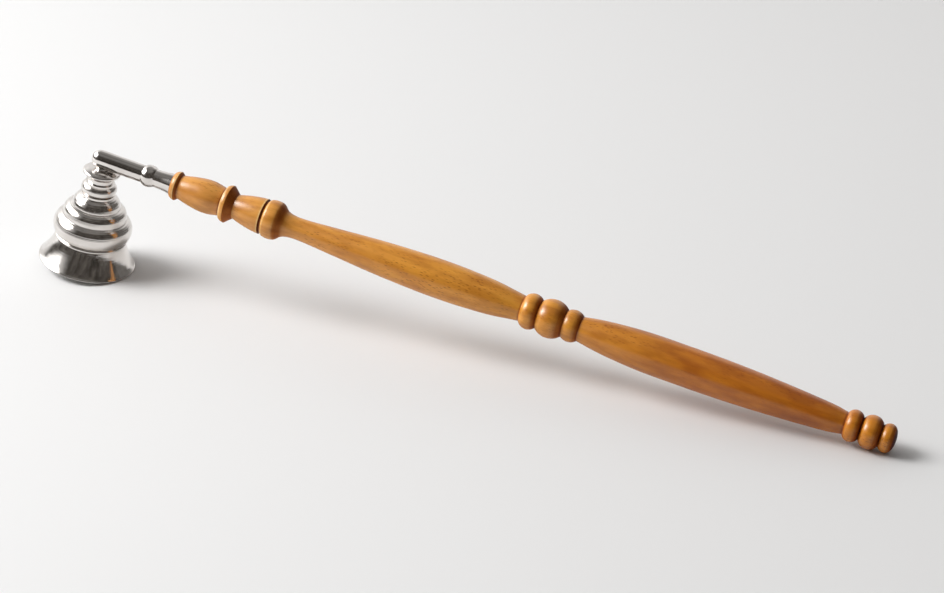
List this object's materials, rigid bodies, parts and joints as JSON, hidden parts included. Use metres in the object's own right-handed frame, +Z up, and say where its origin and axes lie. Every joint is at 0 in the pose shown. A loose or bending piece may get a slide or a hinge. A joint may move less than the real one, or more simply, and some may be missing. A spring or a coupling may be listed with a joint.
{
  "type": "candle snuffer",
  "caption": "Candle snuffer with a stepped polished metal bell on a round arm and a long turned wooden handle, resting on a table.",
  "frame": {"origin": "on the table under the middle of the snuffer's overall box, as it lies at rest", "axes": "+X along the table from the bell to the handle's end, +Z up, +Y across the handle"},
  "size_m": [0.324, 0.036, 0.0474],
  "materials": {
    "polished_metal": "mirror polished",
    "fixing_steel": "plain",
    "turned_wood": "honey stain under gloss lacquer"
  },
  "bodies": {
    "handle_body": {"handle": "turned_wood", "handle_stud": "fixing_steel", "ferrule": "polished_metal", "arm": "polished_metal", "bell_screw": "fixing_steel", "flat_washer": "fixing_steel", "spring_washer": "fixing_steel"},
    "bell_head": {"bell": "polished_metal", "knob": "polished_metal"}
  },
  "joints": [
    {"name": "bell_swivel", "type": "hinge", "parent": "handle_body", "child": "bell_head", "pos_m": [-0.14054, 0, 0.03042], "axis": [0.1284, 0, 0.9917], "continuous": true}
  ]
}
